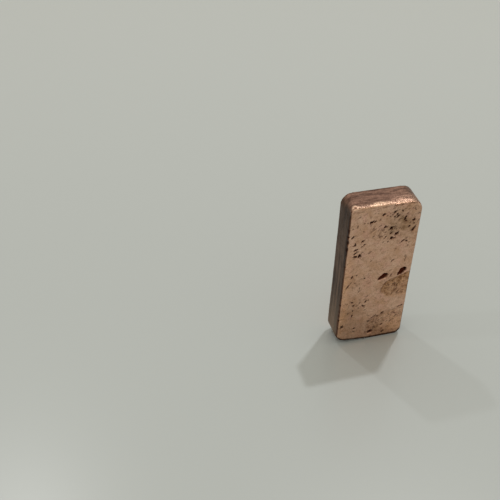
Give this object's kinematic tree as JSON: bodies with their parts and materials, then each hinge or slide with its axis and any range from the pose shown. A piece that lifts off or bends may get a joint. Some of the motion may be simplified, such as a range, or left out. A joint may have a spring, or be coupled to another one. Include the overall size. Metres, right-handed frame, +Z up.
{
  "type": "copper ingot",
  "caption": "Small hand-poured copper bar ingot with round corners and drafted walls, a flat face with laps and gas pits, and a sunken poured face.",
  "frame": {"origin": "under the middle of the ingot's box, at the level of the end it stands on", "axes": "+Z up along the bar, +Y towards the poured side, so the side from the mould's floor faces -Y"},
  "size_m": [0.0448, 0.0186, 0.1047],
  "materials": {
    "cast_copper": null
  },
  "bodies": {
    "root": {"ingot": "cast_copper"}
  },
  "joints": []
}
